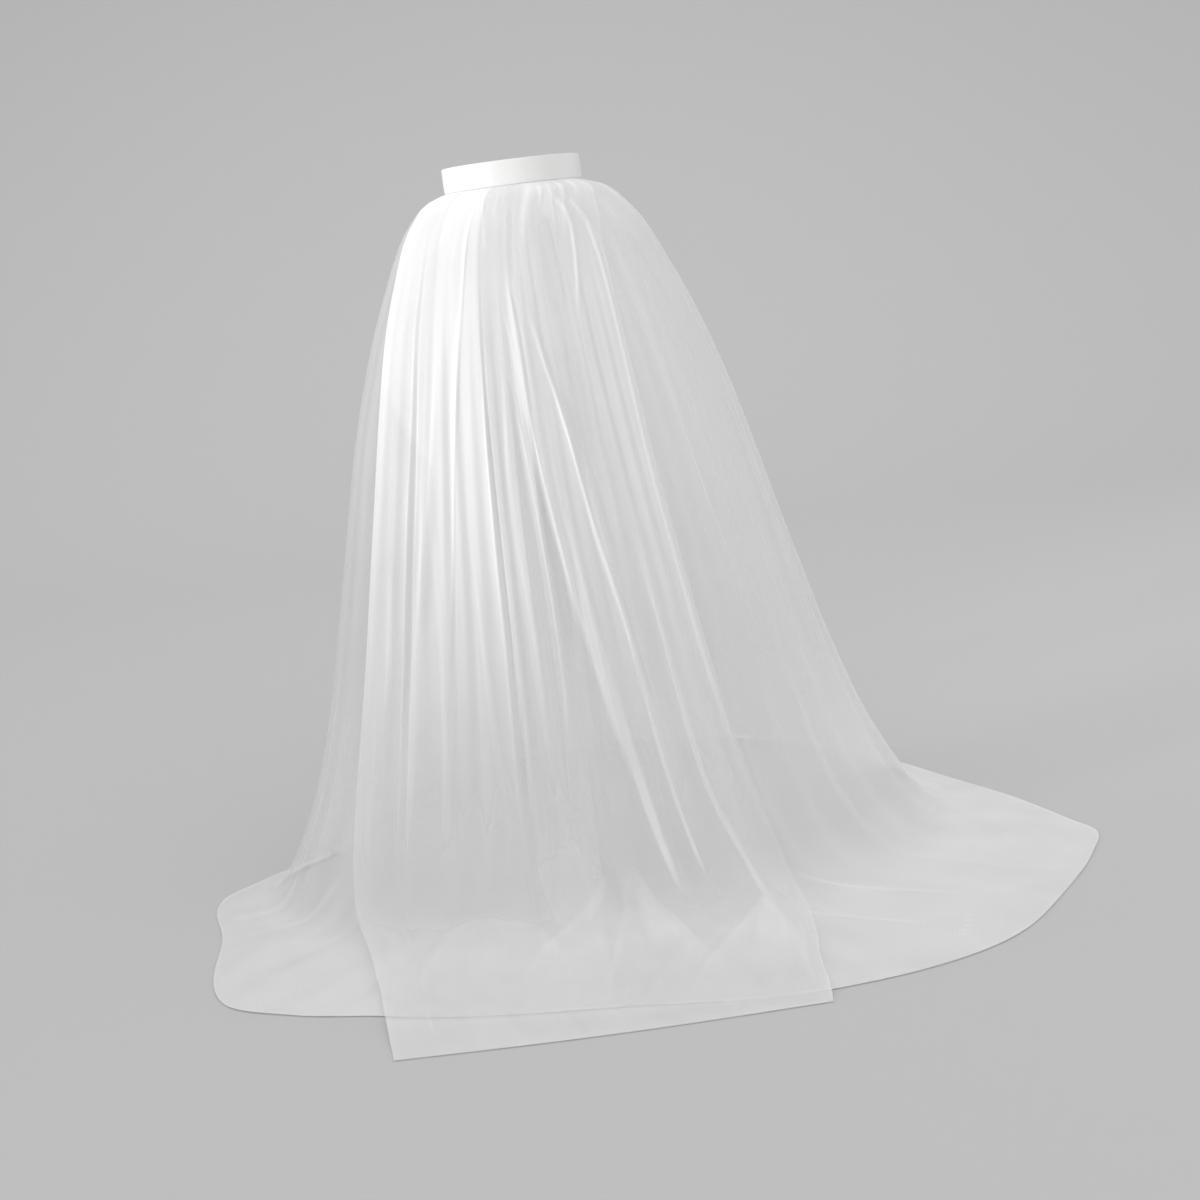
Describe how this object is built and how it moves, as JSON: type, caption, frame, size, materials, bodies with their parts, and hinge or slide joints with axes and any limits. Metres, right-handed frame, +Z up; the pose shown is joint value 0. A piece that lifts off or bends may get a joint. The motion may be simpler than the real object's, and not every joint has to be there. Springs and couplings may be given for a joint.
{
  "type": "tulle skirt",
  "caption": "Floor-length bridal tulle skirt on a satin waistband, gathered in soft folds, with a spreading train and an upper tulle panel over it, in its worn shape.",
  "frame": {"origin": "middle of the waist ring, at half the waistband's height", "axes": "+Z up the wearer's body, -Y behind the wearer where the train spreads, +X to the wearer's right"},
  "size_m": [1.3494, 1.153, 1.084],
  "materials": {
    "satin": "smooth white satin",
    "tulle": "sheer soft white tulle net"
  },
  "bodies": {
    "root": {"waistband": "satin", "front_left_gore": "tulle", "back_left_gore": "tulle", "back_right_gore": "tulle", "front_right_gore": "tulle", "train_overlay": "tulle"}
  },
  "joints": []
}
